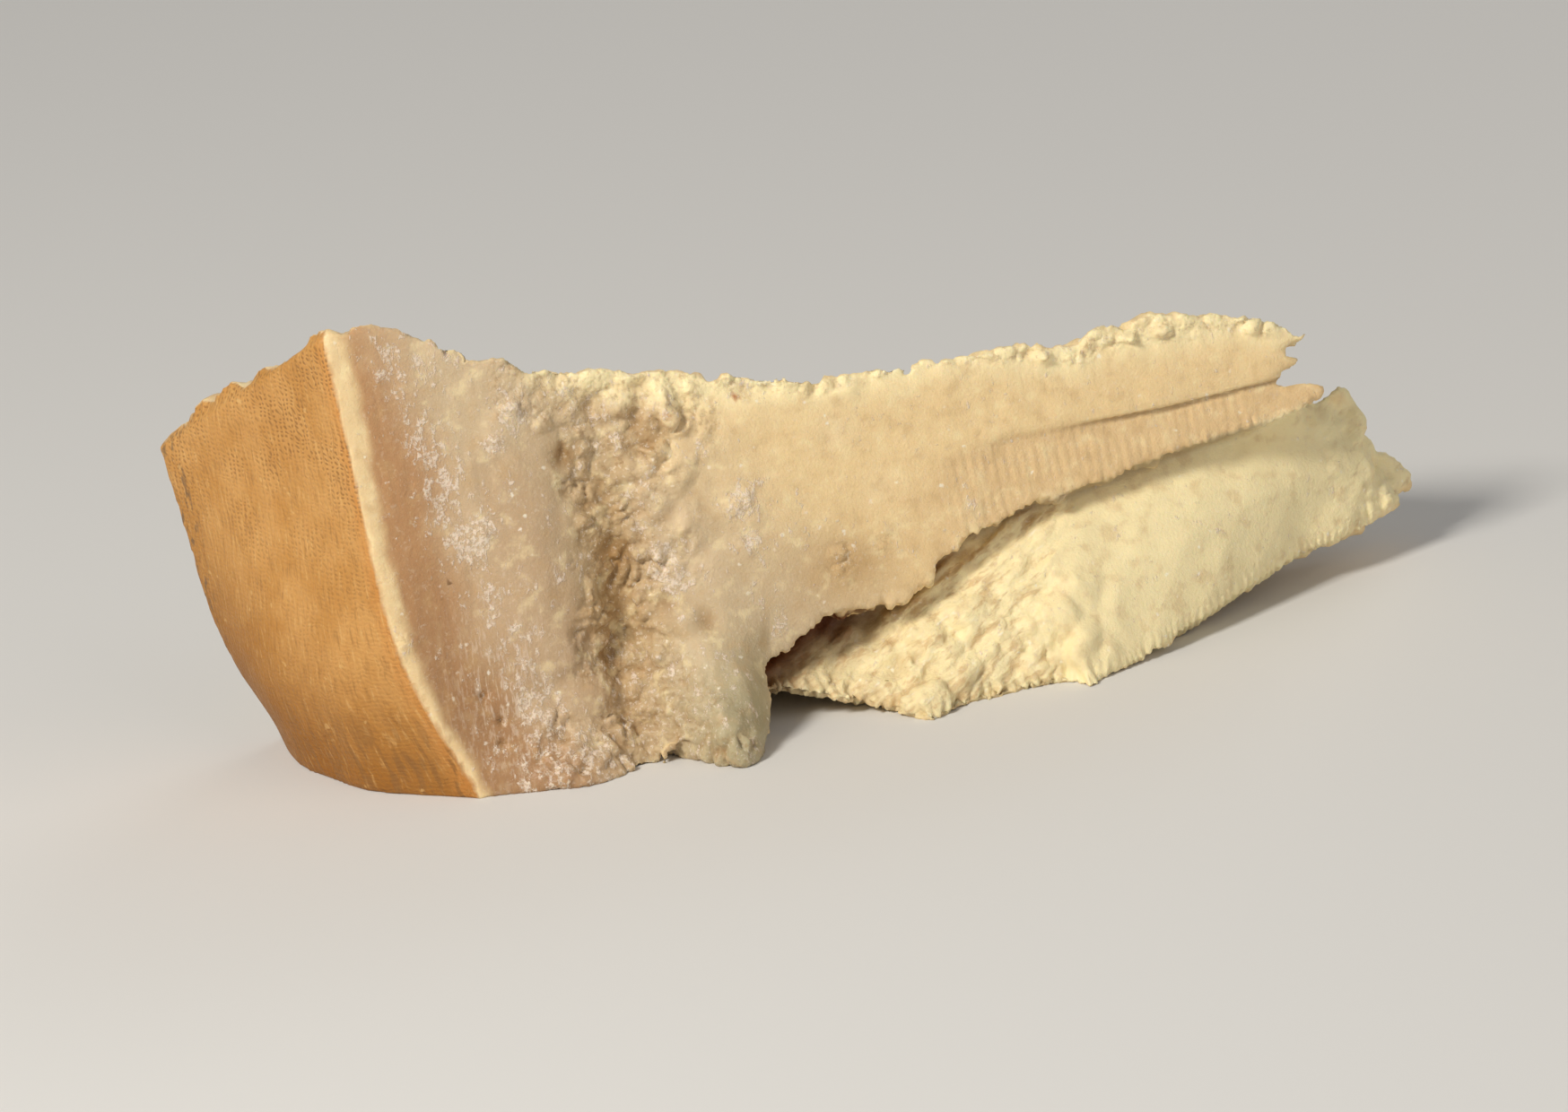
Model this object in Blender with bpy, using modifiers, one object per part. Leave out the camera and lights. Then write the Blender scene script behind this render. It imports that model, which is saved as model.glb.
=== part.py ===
"""A rough hewn wedge of hard cheese, rind at one end and thin flakes at the other.

The wedge stands on its underside with its length along +X, the rind at the low end of X.
Its front is a clean cut that leans back a little, and its back and top are broken faces.
A second flake shelves out from under the front and runs on past the tip.
Everything is first drawn in millimetres, and MM turns it into metres.
"""

import math

import bmesh
import bpy
from mathutils import Vector, noise

MM = 0.001

# Driving dimensions of the wedge, in millimetres
FRONT_LEAN = 0.14        # how far the front leans back for each millimetre of height
RIND_DEPTH = 40.0        # front to back at the rind
TIP_DEPTH = 21.0         # front to back where the upper flakes end
TIP_X = 124.0            # where the upper flakes end
BACK_SWEEP = 0.36        # how far the rind runs to -X for each millimetre of depth
BACK_DROP = 0.37         # share of its height that the top loses from front to back
BACK_ROUNDS = 8          # sections from the front to the back
NOTCH_TOP = 4.0          # what is lower than this in the foot's outline closes behind the front

# The rind's profile, up from its foot: a tucked in foot, and a flank that leans out
RIND_TOP = 65.6
RIND_TUCK = 7.4
RIND_TUCK_HEIGHT = 17.0
RIND_TUCK_POWER = 1.6
RIND_LEAN = 0.07
RIND_POINTS = 16

# The crumbled top edge, from the rind to the end of the uppermost flake
TOP_EDGE = [
    (-10.7, 66.3), (-1.0, 64.6), (9.5, 59.2), (23.0, 53.2), (40.0, 48.8), (56.0, 46.0),
    (72.0, 46.4), (84.0, 44.5), (91.0, 42.4), (95.0, 43.8), (114.0, 42.6), (122.0, 40.4),
]

# Ends of the three upper flakes, with the notches between them
FLAKE_ENDS = [
    (126.0, 38.2), (119.0, 36.5), (124.0, 35.7), (123.0, 34.3), (118.0, 33.6),
    (123.0, 32.2), (127.0, 30.6), (127.0, 29.1), (123.0, 28.0),
]

# The lower edge of the cut, back towards the rind, then the lobe and the foot
LOWER_EDGE = [
    (118.0, 26.6), (104.0, 25.8), (94.0, 24.0), (87.0, 22.8), (84.0, 23.2), (78.0, 21.4),
    (74.0, 20.8), (71.0, 18.6), (68.0, 18.3), (67.0, 16.0), (63.0, 13.4), (51.0, 13.8),
    (48.0, 12.0), (41.5, 8.9), (41.0, 3.0), (38.5, 0.0), (33.0, 0.0), (28.0, 3.6),
    (25.5, 0.0), (10.0, 0.0),
]

# The lower flake, by station along X: foot (y, z), crevice under the cut (y, z), underside.
# It starts inside the wedge, behind the lobe.
SHELF_STATIONS = [
    (26.0, (16.0, 5.0), (18.0, 6.0), 2.0),
    (39.0, (2.5, 7.5), (9.0, 8.4), 5.0),
    (46.0, (0.2, 5.0), (9.0, 8.8), 3.0),
    (56.0, (-2.6, 1.6), (9.0, 10.4), 0.5),
    (60.5, (-9.6, 0.0), (8.6, 11.4), 0.0),
    (70.0, (-6.4, 0.0), (8.4, 16.6), 0.0),
    (81.0, (-6.0, 0.0), (8.2, 20.6), 0.0),
    (83.5, (-10.0, 0.0), (8.2, 21.4), 0.0),
    (93.0, (-5.6, 0.8), (8.2, 22.8), 0.0),
    (103.0, (-1.5, 3.2), (8.6, 24.8), 0.6),
    (112.0, (2.8, 4.8), (9.6, 26.0), 2.2),
    (121.7, (7.6, 5.8), (11.5, 27.4), 4.0),
    (128.6, (8.6, 6.4), (14.5, 26.0), 4.9),
    (134.2, (11.0, 7.0), (15.8, 25.8), 5.7),
    (136.4, (12.4, 7.6), (15.4, 14.7), 6.0),
    (141.2, (15.4, 8.6), (16.0, 9.6), 7.4),
]
SHELF_BACK = [(39.0, 36.0), (103.0, 27.0), (141.2, 20.5)]   # back of the lower flake, (x, y)
SHELF_HOLLOW_END = 60.0  # the flake's thin end next to the lobe is hollow under its front only
SHELF_WALL = (3.0, 6.0)  # behind the crevice the flake rises into the wedge: (back, up)
SHELF_FREE = 118.0       # past this length nothing covers the flake
SHELF_FALL = 0.55        # and its top falls this steeply towards the back
SHELF_CURVE = 0.08       # how far the middle of its front bows out for each millimetre of height
SHELF_LEAST = 1.0        # least thickness at its back
UNDER_FOOT = 4.0         # how far behind the foot the underside begins

# Broad forms pushed out of the front: (x, z, reach in x, reach in z, amount towards the back)
FRONT_BUMPS = [
    (33.5, 1.0, 6.5, 13.0, -11.0),     # the rounded lobe at the foot
    (15.0, 0.0, 10.0, 7.0, -5.0),      # the crumbled foot next to it
    (24.0, 18.0, 5.0, 13.0, 3.4),      # the valley above the foot
    (22.0, 40.0, 5.0, 9.0, 1.6),       # where the valley runs out upwards
    (41.0, 27.0, 12.0, 12.0, -0.9),    # the swell between valley and cut
    (2.0, 34.0, 6.0, 22.0, 0.7),       # the hollow beside the rind
    (12.0, 30.0, 5.0, 16.0, -0.8),     # and the swell beyond it
]
BUMP_FADE = (6.0, 20.0)  # depth over which these forms die away

# The rind's foot rounds out between its front and back corners
RIND_BULGE = 9.0
RIND_BULGE_HEIGHT = 25.0
RIND_BULGE_X = (2.0, 26.0)          # fades with the distance from the rind's face
RIND_BULGE_FRONT = (-3.0, 13.0)     # comes up over this depth
RIND_BULGE_BACK = (22.0, 49.0)      # and goes down over this one

# The layer step on the cut, and how far what lies under it is set back
STEP_LINE = [(66.0, 30.5), (74.0, 32.6), (84.0, 32.6), (104.0, 32.0), (119.0, 32.6)]
STEP_BACK = 0.7
STEP_START = (68.0, 84.0)           # the step rises over this length
STEP_DEPTH = (6.5, 9.0)             # and is only this deep behind the front
STEP_SHARPNESS = 0.3
STEP_FOOT = (18.0, 24.0)            # it dies out above the lower flake

# How the faces are told apart, by a point's place and by which way its normal points
RIND_SKIN = 2.6
RIND_FACING = -0.2
UNDERSIDE_REACH = 1.0
UNDERSIDE_FACING = -0.8
FRONT_REACH = 12.0
FRONT_FACING = -0.35
BEHIND_FACING = (-0.35, 0.35)       # front crumbs give way to crags over this turn

# Crumb relief on the front: size and height of the nodules
NODULE = 6.5
NODULE_HEIGHT = 1.9
FRAGMENT = 3.2
FRAGMENT_HEIGHT = 0.7
SWELL = 15.0
SMOOTH_CUT = 0.1                    # what is left of the relief on the clean cut
CRUMBLED_MIDDLE = (21.8, 9.0)       # middle and half width of the crumbled band, along X
MIDDLE_TILT = 0.16                  # and how far it moves along X with each millimetre up
FOOT_SHARE = 0.6                    # how strong the relief is in the other crumbled places
FLAKE_SHARE = 0.8
RIM_SHARE = 0.5
FOOT_SPAN = (4.0, 12.0, 42.0, 50.0)        # crumbled foot: rises and falls along X
FOOT_TOP = (8.0, 22.0)
FLAKE_SPAN = (44.0, 54.0, 84.0, 95.0)      # crumbled part of the lower flake
FLAKE_TOP = (10.0, 17.0)
RIM = (-5.0, -1.0)                         # crumbled rim, down from the top edge
RIM_START = (10.0, 22.0)

# Broken back and top: hollows, crags and the ledges that the layers leave
BROKEN = 0.9
HOLLOW = 26.0
HOLLOW_HEIGHT = 4.2
CRAG = 11.0
CRAG_HEIGHT = 2.4
LEDGE = 9.0
LEDGE_HEIGHT = 1.5
LEDGE_TILT = 0.22
LEDGE_RISE = 0.75                   # share of each layer over which its ledge rises
LAYER_WAVES = ((34.0, 7.0), (13.0, 2.0))   # size and height of the waves that the layers make
LEDGE_PATCH = 21.0                  # size of the patches where the ledges show
LEDGE_PATCH_EDGE = (-0.25, 0.35)
LEDGE_PATCH_PLACE = Vector((4.0, 9.0, 2.0))
CREASE_WIDTH = 1.6                  # the higher, the narrower the creases between crumbs

VOXEL = 0.62
TRIANGLES = 10800
UNDERSIDE = 0.25         # shaved off below, so that the wedge rests on one flat face
CUTTER = (240.0, 120.0, 40.0)       # the block that shaves it
CUTTER_PLACE = (60.0, 15.0)

# Faces this near the rind's surface and past the front edge, and turned this far, are rind
PAINTED_SKIN = 4.0
PAINTED_EDGE = 0.4
PAINTED_FACING = -0.45

PASTE_COLOUR = (0.72, 0.53, 0.29, 1.0)
PASTE_ROUGHNESS = 0.55
RIND_COLOUR = (0.56, 0.30, 0.085, 1.0)
RIND_ROUGHNESS = 0.45


def clear_objects():
    for item in list(bpy.data.objects):
        bpy.data.objects.remove(item, do_unlink=True)


def smooth_step(low, high, value):
    share = min(max((value - low) / (high - low), 0.0), 1.0)
    return share * share * (3.0 - 2.0 * share)


def read_curve(points, x):
    """The height of a polyline of (x, value) points at x, held level beyond its ends."""
    if x <= points[0][0]:
        return points[0][1]
    for (x0, v0), (x1, v1) in zip(points, points[1:]):
        if x <= x1:
            return v0 + (v1 - v0) * (x - x0) / (x1 - x0)
    return points[-1][1]


def new_object(name, mesh, collection):
    item = bpy.data.objects.new(name, mesh)
    collection.objects.link(item)
    return item


def loft(name, rings, collection):
    """Skin a list of rings that all have the same number of points, and close both ends."""
    shape = bmesh.new()
    rows = [[shape.verts.new(Vector(p) * MM) for p in ring] for ring in rings]
    count = len(rings[0])
    for near, far in zip(rows, rows[1:]):
        for i in range(count):
            j = (i + 1) % count
            shape.faces.new((near[i], near[j], far[j], far[i]))
    shape.faces.new(list(reversed(rows[0])))
    shape.faces.new(rows[-1])
    bmesh.ops.recalc_face_normals(shape, faces=shape.faces)
    mesh = bpy.data.meshes.new(name)
    shape.to_mesh(mesh)
    shape.free()
    return new_object(name, mesh, collection)


def rind_line(z):
    """Where the rind's front corner stands at a height."""
    tuck = RIND_TUCK * (1.0 - math.exp(-(z / RIND_TUCK_HEIGHT) ** RIND_TUCK_POWER))
    return -tuck - RIND_LEAN * z


def rind_x(y, z):
    """Where the rind's outer face stands, before its foot is rounded out."""
    depth = min(max(y - FRONT_LEAN * z, 0.0), RIND_DEPTH)
    height = max(z, 0.0) / (1.0 - BACK_DROP * depth / RIND_DEPTH)
    return rind_line(height) - BACK_SWEEP * depth


def depth_at(x):
    share = (x - rind_line(RIND_TOP)) / (TIP_X - rind_line(RIND_TOP))
    return RIND_DEPTH + (TIP_DEPTH - RIND_DEPTH) * min(max(share, 0.0), 1.0)


def wedge_body(collection):
    """The wedge itself: its front outline carried to the back, where it is lower and shorter."""
    heights = [RIND_TOP * i / (RIND_POINTS - 1) for i in range(RIND_POINTS)]
    rind = [(rind_line(z), z) for z in heights]
    outline = rind + TOP_EDGE + FLAKE_ENDS + LOWER_EDGE
    rings = []
    for round_index in range(BACK_ROUNDS + 1):
        share = round_index / BACK_ROUNDS
        ring = []
        for x, z in outline:
            depth = share * depth_at(x)
            height = z * (1.0 - BACK_DROP * share)
            if z < NOTCH_TOP and round_index > 0:
                height = 0.0
            ring.append((x - BACK_SWEEP * depth, FRONT_LEAN * z + depth, height))
        rings.append(ring)
    return loft("wedge_body", rings, collection)


def lower_flake(collection):
    """The flake under the cut: a foot on the ground, a slope up to the crevice, and a back."""
    rings = []
    for x, (foot_y, foot_z), (crevice_y, crevice_z), under in SHELF_STATIONS:
        back_y = read_curve(SHELF_BACK, x)
        wall_y, wall_z = SHELF_WALL
        back_z = crevice_z
        if x > SHELF_FREE:
            wall_z = -SHELF_FALL * wall_y
            back_z = max(crevice_z - SHELF_FALL * (back_y - crevice_y), under + SHELF_LEAST)
        middle_y = 0.5 * (foot_y + crevice_y) - SHELF_CURVE * (crevice_z - foot_z)
        middle_z = 0.5 * (foot_z + crevice_z)
        rings.append([
            (x, foot_y, foot_z),
            (x, middle_y, middle_z),
            (x, crevice_y, crevice_z),
            (x, min(crevice_y + wall_y, 0.5 * (crevice_y + back_y)), crevice_z + wall_z),
            (x, back_y, back_z),
            (x, back_y, under if x > SHELF_HOLLOW_END else 0.0),
            (x, foot_y + UNDER_FOOT, min(under, foot_z)),
        ])
    return loft("lower_flake", rings, collection)


def fuse(pieces, name, collection):
    """Join the pieces into one closed skin of small even faces."""
    shape = bmesh.new()
    for piece in pieces:
        shape.from_mesh(piece.data)
    mesh = bpy.data.meshes.new(name)
    shape.to_mesh(mesh)
    shape.free()
    for piece in pieces:
        bpy.data.objects.remove(piece, do_unlink=True)
    joined = new_object(name, mesh, collection)
    skin = joined.modifiers.new("skin", "REMESH")
    skin.mode = "VOXEL"
    skin.voxel_size = VOXEL * MM
    return apply_modifiers(joined)


def apply_modifiers(item):
    graph = bpy.context.evaluated_depsgraph_get()
    graph.update()
    mesh = bpy.data.meshes.new_from_object(item.evaluated_get(graph))
    item.modifiers.clear()
    item.data = mesh
    return item


def hump(span, value):
    """Rises over the first two values of a span and falls over its last two."""
    return smooth_step(span[0], span[1], value) * (1.0 - smooth_step(span[2], span[3], value))


def broad_forms(x, y, z):
    """Move a point with the wide bumps, the valley, the layer step and the rounded rind foot."""
    shift = 0.0
    for bump_x, bump_z, reach_x, reach_z, amount in FRONT_BUMPS:
        away = ((x - bump_x) / reach_x) ** 2 + ((z - bump_z) / reach_z) ** 2
        shift += amount * math.exp(-away)
    step = STEP_BACK * smooth_step(*STEP_START, x) * smooth_step(*STEP_FOOT, z)
    step *= 1.0 - smooth_step(*STEP_DEPTH, y - FRONT_LEAN * z)
    step *= 1.0 - smooth_step(-STEP_SHARPNESS, STEP_SHARPNESS, z - read_curve(STEP_LINE, x))
    near_rind = 1.0 - smooth_step(*RIND_BULGE_X, x - rind_x(y, z))
    swell = RIND_BULGE * near_rind * hump(RIND_BULGE_FRONT + RIND_BULGE_BACK, y)
    swell *= math.exp(-(z / RIND_BULGE_HEIGHT) ** 2)
    near_front = 1.0 - smooth_step(*BUMP_FADE, y)
    return Vector((x - swell, y + (shift + step) * near_front, z))


def cells(point, size, seed):
    """Rounded nodules about size across: 1 on top of each one, 0 in the creases between."""
    place = Vector((point.x / size + seed, point.y / size - seed, point.z / size))
    distances = noise.voronoi(place)[0]
    return min(1.0, CREASE_WIDTH * (distances[1] - distances[0]))


def roughness_at(point, normal):
    """How crumbled the skin is, from 0 on the rind and the underside to 1 on broken faces."""
    x, y, z = point
    on_rind = x - rind_x(y, z) < RIND_SKIN and normal.x < RIND_FACING
    on_underside = z < UNDERSIDE_REACH and normal.z < UNDERSIDE_FACING
    if on_rind or on_underside:
        return 0.0
    on_front = y < FRONT_REACH and normal.y < FRONT_FACING
    if not on_front:
        return BROKEN
    middle, half_width = CRUMBLED_MIDDLE
    band = math.exp(-((x - middle - MIDDLE_TILT * z) / half_width) ** 2)
    foot = hump(FOOT_SPAN, x) * (1.0 - smooth_step(*FOOT_TOP, z))
    flake = hump(FLAKE_SPAN, x) * (1.0 - smooth_step(*FLAKE_TOP, z))
    rim = smooth_step(*RIM, z - read_curve(TOP_EDGE, x)) * smooth_step(*RIM_START, x)
    return max(SMOOTH_CUT, band, FOOT_SHARE * foot, FLAKE_SHARE * flake, RIM_SHARE * rim)


def front_crumbs(spot):
    lift = NODULE_HEIGHT * (cells(spot, NODULE, 3.7) - 0.5)
    lift += FRAGMENT_HEIGHT * (cells(spot, FRAGMENT, 8.1) - 0.5)
    return lift + noise.noise(spot / SWELL)


def broken_face(spot):
    """Hollows and crags, stepped by ledges where one layer has come away from the next."""
    warp = sum(height * noise.noise(spot / size) for size, height in LAYER_WAVES)
    layer = (spot.z + LEDGE_TILT * spot.x + warp) / LEDGE
    ledge = smooth_step(0.0, LEDGE_RISE, layer - math.floor(layer))
    strength = smooth_step(*LEDGE_PATCH_EDGE, noise.noise(spot / LEDGE_PATCH + LEDGE_PATCH_PLACE))
    lift = LEDGE_HEIGHT * strength * (ledge - 0.5) + HOLLOW_HEIGHT * noise.noise(spot / HOLLOW)
    return lift + CRAG_HEIGHT * (cells(spot, CRAG, 5.3) - 0.6)


def relief(item):
    """Push the skin into its broad forms, then crumble the front and break the back."""
    mesh = item.data
    spots = [Vector(v.co) / MM for v in mesh.vertices]
    normals = [Vector(v.normal) for v in mesh.vertices]
    for vertex, spot, normal in zip(mesh.vertices, spots, normals):
        rough = roughness_at(spot, normal)
        behind = smooth_step(*BEHIND_FACING, normal.y)
        lift = rough * ((1.0 - behind) * front_crumbs(spot) + behind * broken_face(spot))
        vertex.co = (broad_forms(*spot) + normal * lift) * MM
    mesh.update()


def reduce_faces(item):
    """Bring the skin down to the triangles that the form needs."""
    triangles = sum(len(face.vertices) - 2 for face in item.data.polygons)
    thin = item.modifiers.new("thin", "DECIMATE")
    thin.ratio = TRIANGLES / triangles
    thin.use_collapse_triangulate = True
    return apply_modifiers(item)


def flatten_underside(item, guides):
    """Shave the underside to one plane, and set that plane at height zero."""
    across, deep, tall = CUTTER
    place = Vector((*CUTTER_PLACE, UNDERSIDE - tall / 2)) * MM
    bpy.ops.mesh.primitive_cube_add(size=1.0, location=place)
    shave = bpy.context.object
    shave.name = "underside_cutter"
    shave.scale = Vector((across, deep, tall)) * MM
    shave.hide_render = True
    shave.display_type = "WIRE"
    move_to(shave, guides)
    cut = item.modifiers.new("shave", "BOOLEAN")
    cut.operation = "DIFFERENCE"
    cut.solver = "MANIFOLD"      # the exact solver leaves nothing of a skin as fine as this
    cut.object = shave
    apply_modifiers(item)
    bpy.data.objects.remove(shave, do_unlink=True)
    for vertex in item.data.vertices:
        vertex.co.z -= UNDERSIDE * MM


def drop_scraps(item):
    """Keep the wedge's one body, and drop any crumb that the relief or the shave cut loose."""
    shape = bmesh.new()
    shape.from_mesh(item.data)
    unseen = set(shape.verts)
    bodies = []
    while unseen:
        body = {unseen.pop()}
        edge_of_body = list(body)
        while edge_of_body:
            vertex = edge_of_body.pop()
            for edge in vertex.link_edges:
                other = edge.other_vert(vertex)
                if other in unseen:
                    unseen.remove(other)
                    body.add(other)
                    edge_of_body.append(other)
        bodies.append(body)
    bodies.sort(key=len)
    scraps = [vertex for body in bodies[:-1] for vertex in body]
    bmesh.ops.delete(shape, geom=scraps, context="VERTS")
    shape.to_mesh(item.data)
    shape.free()


def move_to(item, collection):
    for owner in list(item.users_collection):
        owner.objects.unlink(item)
    collection.objects.link(item)


def centre_footprint(item):
    """Put the origin under the middle of the wedge's box."""
    xs = [v.co.x for v in item.data.vertices]
    ys = [v.co.y for v in item.data.vertices]
    middle = Vector(((min(xs) + max(xs)) / 2, (min(ys) + max(ys)) / 2, 0.0))
    for vertex in item.data.vertices:
        vertex.co -= middle
    return middle


def cheese_material(name, colour, roughness):
    material = bpy.data.materials.new(name)
    material.use_nodes = True
    shader = material.node_tree.nodes["Principled BSDF"]
    shader.inputs["Base Color"].default_value = colour
    shader.inputs["Roughness"].default_value = roughness
    shader.inputs["Metallic"].default_value = 0.0
    material.diffuse_color = colour
    return material


def paint(item, middle):
    """Paste all over, and rind on the faces of the wheel's side."""
    item.data.materials.clear()
    item.data.materials.append(cheese_material("paste", PASTE_COLOUR, PASTE_ROUGHNESS))
    item.data.materials.append(cheese_material("rind", RIND_COLOUR, RIND_ROUGHNESS))
    for face in item.data.polygons:
        x, y, z = face.center / MM + middle
        near_rind = x < rind_x(y, z) + PAINTED_SKIN and y > FRONT_LEAN * z + PAINTED_EDGE
        face.material_index = 1 if near_rind and face.normal.x < PAINTED_FACING else 0


def main():
    clear_objects()
    parts = bpy.data.collections.new("cheese_wedge")
    guides = bpy.data.collections.new("guides")
    for collection in (parts, guides):
        bpy.context.scene.collection.children.link(collection)
    wedge = fuse([wedge_body(parts), lower_flake(parts)], "cheese_wedge", parts)
    relief(wedge)
    reduce_faces(wedge)
    flatten_underside(wedge, guides)
    drop_scraps(wedge)
    middle = centre_footprint(wedge)
    paint(wedge, middle / MM)
    wedge.data.shade_smooth()


main()
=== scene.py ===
"""The looks of a rough hewn wedge of hard cheese.

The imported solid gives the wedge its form. Here its skin is made fine, crumbled, scored and
pitted, and coloured from functions of place, so that rind, clean cut and broken faces differ.
Places below are in millimetres from the foot of the rind's front corner, and MM makes metres.
"""

import math

import bmesh
import bpy
import numpy as np
from mathutils import Matrix, Vector


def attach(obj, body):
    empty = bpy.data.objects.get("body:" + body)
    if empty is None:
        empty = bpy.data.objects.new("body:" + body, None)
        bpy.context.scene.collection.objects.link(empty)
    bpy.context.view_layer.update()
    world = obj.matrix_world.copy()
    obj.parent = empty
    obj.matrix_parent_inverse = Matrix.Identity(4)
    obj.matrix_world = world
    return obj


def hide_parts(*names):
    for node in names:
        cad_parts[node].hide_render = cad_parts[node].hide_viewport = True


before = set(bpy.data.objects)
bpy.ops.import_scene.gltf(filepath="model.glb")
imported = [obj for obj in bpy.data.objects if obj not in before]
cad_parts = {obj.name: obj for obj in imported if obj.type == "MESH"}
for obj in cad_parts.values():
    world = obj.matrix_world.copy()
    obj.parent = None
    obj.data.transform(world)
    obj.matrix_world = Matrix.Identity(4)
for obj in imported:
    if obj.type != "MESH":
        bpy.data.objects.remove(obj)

MM = 0.001
NODE = "cheese_wedge"

# Where the foot of the rind's front corner lies in the frame, in millimetres
CORNER = np.array([-58.03, -19.27, -0.25])

# Shape facts that the solid was made with
FRONT_LEAN = 0.14
BACK_SWEEP = 0.36
BACK_DROP = 0.37
RIND_DEPTH = 40.0
RIND_TUCK = 7.4
RIND_TUCK_HEIGHT = 17.0
RIND_TUCK_POWER = 1.6
RIND_LEAN = 0.07
RIND_BULGE = 9.0
RIND_BULGE_HEIGHT = 25.0
RIND_BULGE_SPAN = (-3.0, 13.0, 22.0, 49.0)
RIND_FACING = np.array([-0.94, -0.34, 0.0])
TOP_EDGE = [
    (-10.7, 66.3), (-1.0, 64.6), (9.5, 59.2), (23.0, 53.2), (40.0, 48.8), (56.0, 46.0),
    (72.0, 46.4), (84.0, 44.5), (91.0, 42.4), (95.0, 43.8), (114.0, 42.6), (122.0, 40.4),
]
CUT_EDGE = [
    (41.0, 8.9), (48.0, 12.0), (51.0, 13.8), (63.0, 13.4), (67.0, 16.0), (71.0, 18.6),
    (74.0, 20.8), (84.0, 23.0), (94.0, 24.0), (104.0, 25.8), (123.0, 28.0),
]
SHELF_FOOT = [(39.0, 6.0), (56.0, 1.0), (60.0, 0.0), (90.0, 0.0), (112.0, 4.0), (141.0, 8.0)]
STEP_LINE = [(66.0, 30.5), (74.0, 32.6), (84.0, 32.6), (104.0, 32.0), (119.0, 32.6)]

# The hollow down the front and the dust beside the rind: how far across they lie at each height
CHANNEL = [
    (0.0, 26.0), (6.0, 24.9), (14.0, 20.5), (21.0, 21.7), (27.0, 23.9), (34.0, 22.6), (52.0, 22.0),
]
DUST_LINE = [(16.0, 9.6), (23.0, 6.9), (33.0, 3.7), (39.0, 1.5), (47.0, 0.4), (59.0, -1.9)]

# How far across the shelf starts and the slab and the folds end, and how deep the front is
SHELF_START = (40.5, 42.0)
SLAB_END = (123.5, 125.5)
FOLD_END = 79.0
FRONT_DEPTH = (9.0, 13.0)

# Where the grey lobe and the tuft of fibres lie, across and up, and how far across the dent does
LOBE = (35.0, 4.0)
TUFT = (78.5, 7.0)
DENT = 55.0

# How steeply the shelf's folds rise toward the tip, in degrees
FOLD_SLOPE = 27.0

# Relief of the skin: the grooves that a saw left, and how far the rest rises or sinks
GROOVE_SPAN = (64.0, 76.0, 112.0, 120.0)
GROOVE_PITCH = 1.47
GROOVE_DEPTH = 0.075
LUMP_SIZE = 3.1
LUMP_HEIGHT = 0.85
CRUMB_SIZE = 1.5
CRUMB_HEIGHT = 0.45
PIT_DEPTH = 0.75
PATCH_HEIGHT = 0.35
SCALLOP_HEIGHT = 0.45
CRACK_DEPTH = 0.4
SCRATCH_DEPTH = 0.10
RIND_WAVE = 0.12

# The shelf's foot is toothed, coarsely up to this far across and finely beyond
COARSE_TEETH_END = 82.0
COARSE_TOOTH = (1.7, 1.1)      # how wide and how deep
FINE_TOOTH = (1.2, 0.6)

# Marks on the front: across, up, and how far each reaches
DUST_PATCHES = [
    (9.0, 46.7, 1.9), (11.5, 50.4, 2.4), (6.0, 35.8, 2.0), (3.8, 33.0, 2.4), (29.7, 27.8, 2.0),
    (41.8, 32.0, 2.9), (41.5, 26.6, 1.8), (30.4, 24.0, 2.6), (73.8, 24.7, 0.9), (-7.4, 23.2, 1.4),
]
PITS = [
    (29.8, 43.6, 2.2), (29.5, 21.0, 2.0), (33.8, 17.8, 1.5), (18.4, 42.9, 1.8),
    (23.9, 27.5, 2.6), (20.8, 14.5, 2.0), (2.2, 13.5, 0.6), (3.9, 9.8, 0.5),
    (3.4, 6.9, 0.6), (11.8, 6.5, 0.8), (13.1, 2.4, 0.9),
]
SPECKS = [(43.0, 46.2, 0.55), (52.7, 32.4, 0.3), (32.9, 46.0, 0.4)]
PALE_SPOTS = [(56.2, 38.7, 2.5), (61.1, 29.8, 2.0)]

# Camera, as the photograph was taken
VIEW_TURN = math.radians(17.0)
VIEW_DOWN = math.radians(19.5)
VIEW_ROLL = math.radians(6.5)
VIEW_DISTANCE = 1.6
VIEW_RIGHT = 40.0          # from the corner to the middle of the picture, across
VIEW_UP = 32.5             # and upwards
FRAME_WIDTH = 0.210        # how much of the world the picture takes in, side to side
SENSOR = 36.0

# Fine skin
VOXEL = 0.37      # in millimetres
MOST_TRIANGLES = 198000
SOFTEN_ROUNDS = 4

# Surface of the cheese
SCATTER_SHARE = 0.18
SCATTER_REACH = 1.3          # in millimetres
SHINE = 0.35
BUMP_STRENGTH = 0.7
BUMP_HEIGHT = 0.14           # in millimetres

# Studio
WORLD_STRENGTH = 0.22
FLOOR_SIZE = 6.0             # in metres
FLOOR_COLOUR = (0.70, 0.69, 0.67, 1.0)
FLOOR_ROUGHNESS = 0.8

# Colours as they show on a screen, from 0 to 255; those named for shade or highlight are painted
# shade or painted highlights
RIND = (204, 152, 86)
RIND_TAN = (192, 138, 70)
RIND_FOOT_TONE_AND_SHADE = (150, 95, 24)
RIND_PALE = (222, 180, 116)
RIND_MARK = (142, 98, 48)
RIND_GREY = (84, 74, 62)
RIND_BLUSH = (206, 138, 66)
CREAM = (236, 208, 158)
GLASSY = (184, 136, 90)
GREY_PASTE = (208, 184, 148)
DULL_PASTE = (182, 150, 116)
GOLD_PASTE = (238, 209, 157)
TAN_PASTE = (229, 197, 147)
PALE_PASTE_AND_RIDGE_HIGHLIGHT = (254, 236, 186)
SHELF_PASTE = (243, 226, 177)
LOBE_PASTE = (174, 161, 126)
DIMPLE_TONE_AND_SHADE = (198, 162, 112)
VALLEY_SHADE = (170, 136, 84)
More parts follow.
